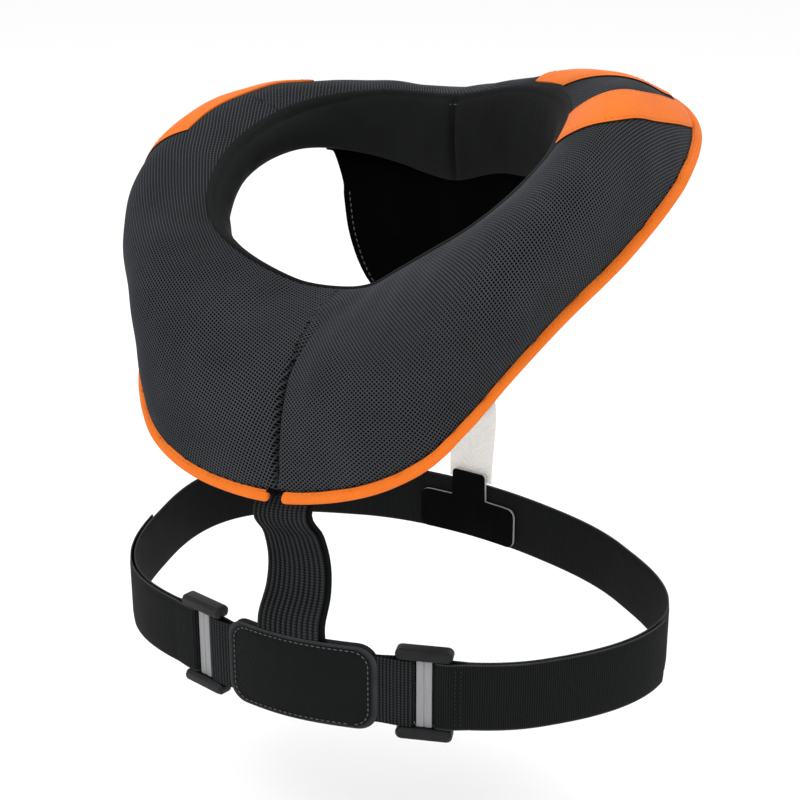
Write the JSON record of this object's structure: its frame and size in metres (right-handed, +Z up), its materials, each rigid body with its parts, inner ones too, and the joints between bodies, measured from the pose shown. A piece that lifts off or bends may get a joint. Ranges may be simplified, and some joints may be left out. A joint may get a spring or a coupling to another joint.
{
  "type": "motocross neck brace",
  "caption": "Worn neck brace: padded mesh collar with orange bands and edge binding, back panel, and a chest belt with slide adjusters joined by straps.",
  "frame": {"origin": "middle of the neck opening, where the collar sits on the wearer", "axes": "+X to the wearer's left, -Y to the wearer's front, +Z up"},
  "size_m": [0.3683, 0.3037, 0.3528],
  "materials": {
    "spacer_mesh": "black three-layer spacer mesh over foam",
    "lining": "smooth black stretch fabric",
    "orange_binding": "matt woven tape",
    "orange_fabric": "matt smooth fabric",
    "webbing": "black ribbed webbing",
    "elastic": "black ribbed elastic",
    "panel": "matt black laminated fabric",
    "pale_webbing": "pale plain webbing",
    "leatherette": "black satin, stitched edge",
    "buckle_plastic": "moulded black",
    "grey_bar": "grey, grooved"
  },
  "bodies": {
    "root": {"collar_pad": "spacer_mesh", "neck_lining": "lining", "edge_binding": "orange_binding", "shoulder_band_left": "orange_fabric", "rear_band_left": "orange_fabric", "rear_band_right": "orange_fabric", "belt_webbing": "webbing", "side_elastic_left": "elastic", "side_elastic_right": "elastic", "front_elastic": "elastic", "front_backing": "lining", "back_panel": "panel", "back_strap": "pale_webbing", "back_tab": "panel", "patch_front": "leatherette", "patch_back": "leatherette", "buckle_left": "buckle_plastic", "buckle_right": "buckle_plastic", "centre_bar_left": "grey_bar", "centre_bar_right": "grey_bar"}
  },
  "joints": []
}
